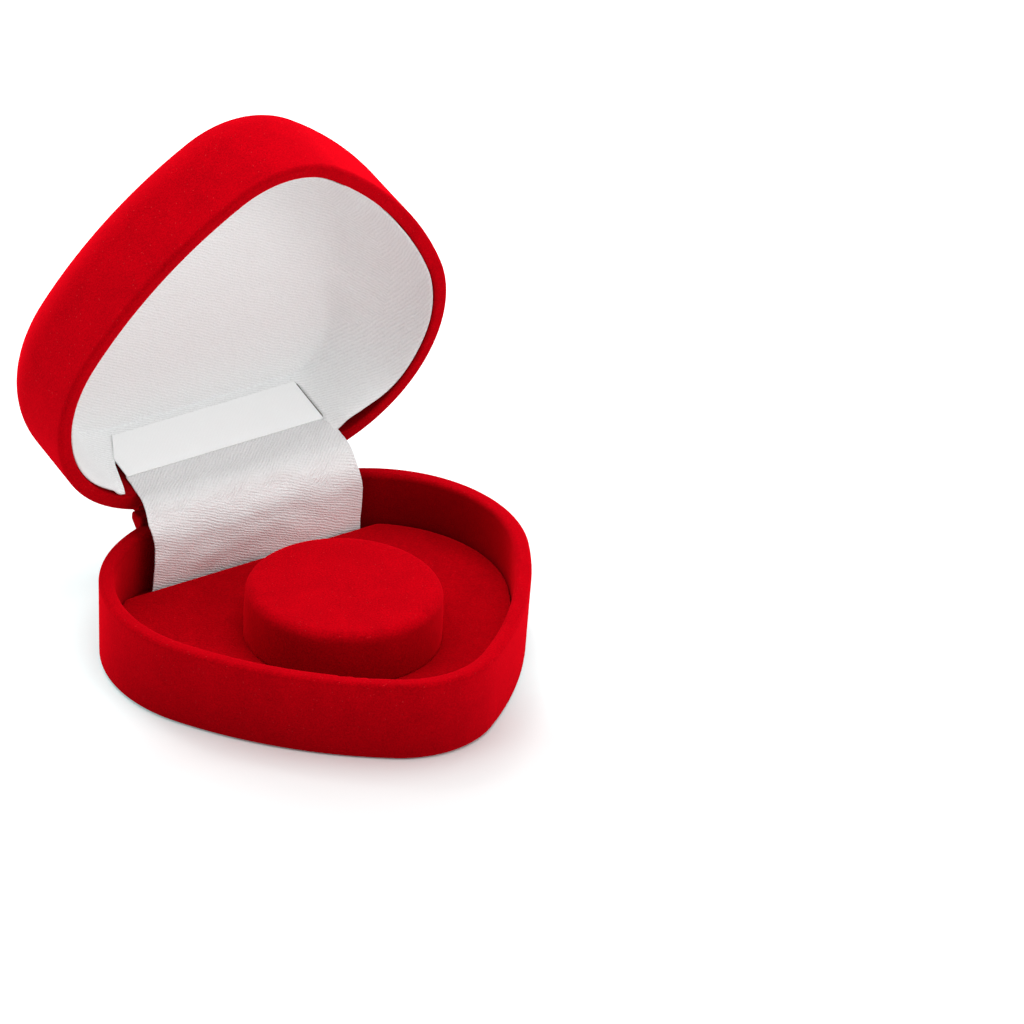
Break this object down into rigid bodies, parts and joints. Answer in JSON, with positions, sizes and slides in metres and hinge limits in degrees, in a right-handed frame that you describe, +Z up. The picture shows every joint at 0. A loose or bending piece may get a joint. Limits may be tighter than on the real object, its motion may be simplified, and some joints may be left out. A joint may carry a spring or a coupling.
{
  "type": "heart gift box",
  "caption": "Heart-shaped flocked gift box with a lined lid that swings open on a snap hinge over a velvet tray with a round pad for a bracelet.",
  "frame": {"origin": "middle of the underside of the base, on the surface that the box stands on", "axes": "+Z up, the tip of the heart towards -Y, the hinge along X at the back (+Y); lid open at rest"},
  "size_m": [0.101, 0.1143, 0.1146],
  "materials": {
    "red_flock": "moulded shell with short dense red flock, velvet look",
    "red_velvet": "short-pile red velvet",
    "white_satin": "white satin with a fine weave",
    "grey_card": "plain grey card",
    "spring_steel": "bright steel"
  },
  "bodies": {
    "base": {"base_shell": "red_flock", "hinge_pin": "spring_steel", "snap_spring": "spring_steel", "hinge_strip": "white_satin", "platform_board": "grey_card", "platform_velvet": "red_velvet", "puck_core": "grey_card", "puck_velvet": "red_velvet"},
    "lid": {"lid_shell": "red_flock", "lining_card": "grey_card", "lining_satin": "white_satin"}
  },
  "joints": [
    {"name": "lid_hinge", "type": "hinge", "parent": "base", "child": "lid", "pos_m": [0, 0.04548, 0.0212], "axis": [-1, 0, 0], "range_deg": [-78, 0], "deforming": ["hinge_strip", "snap_spring"]}
  ]
}
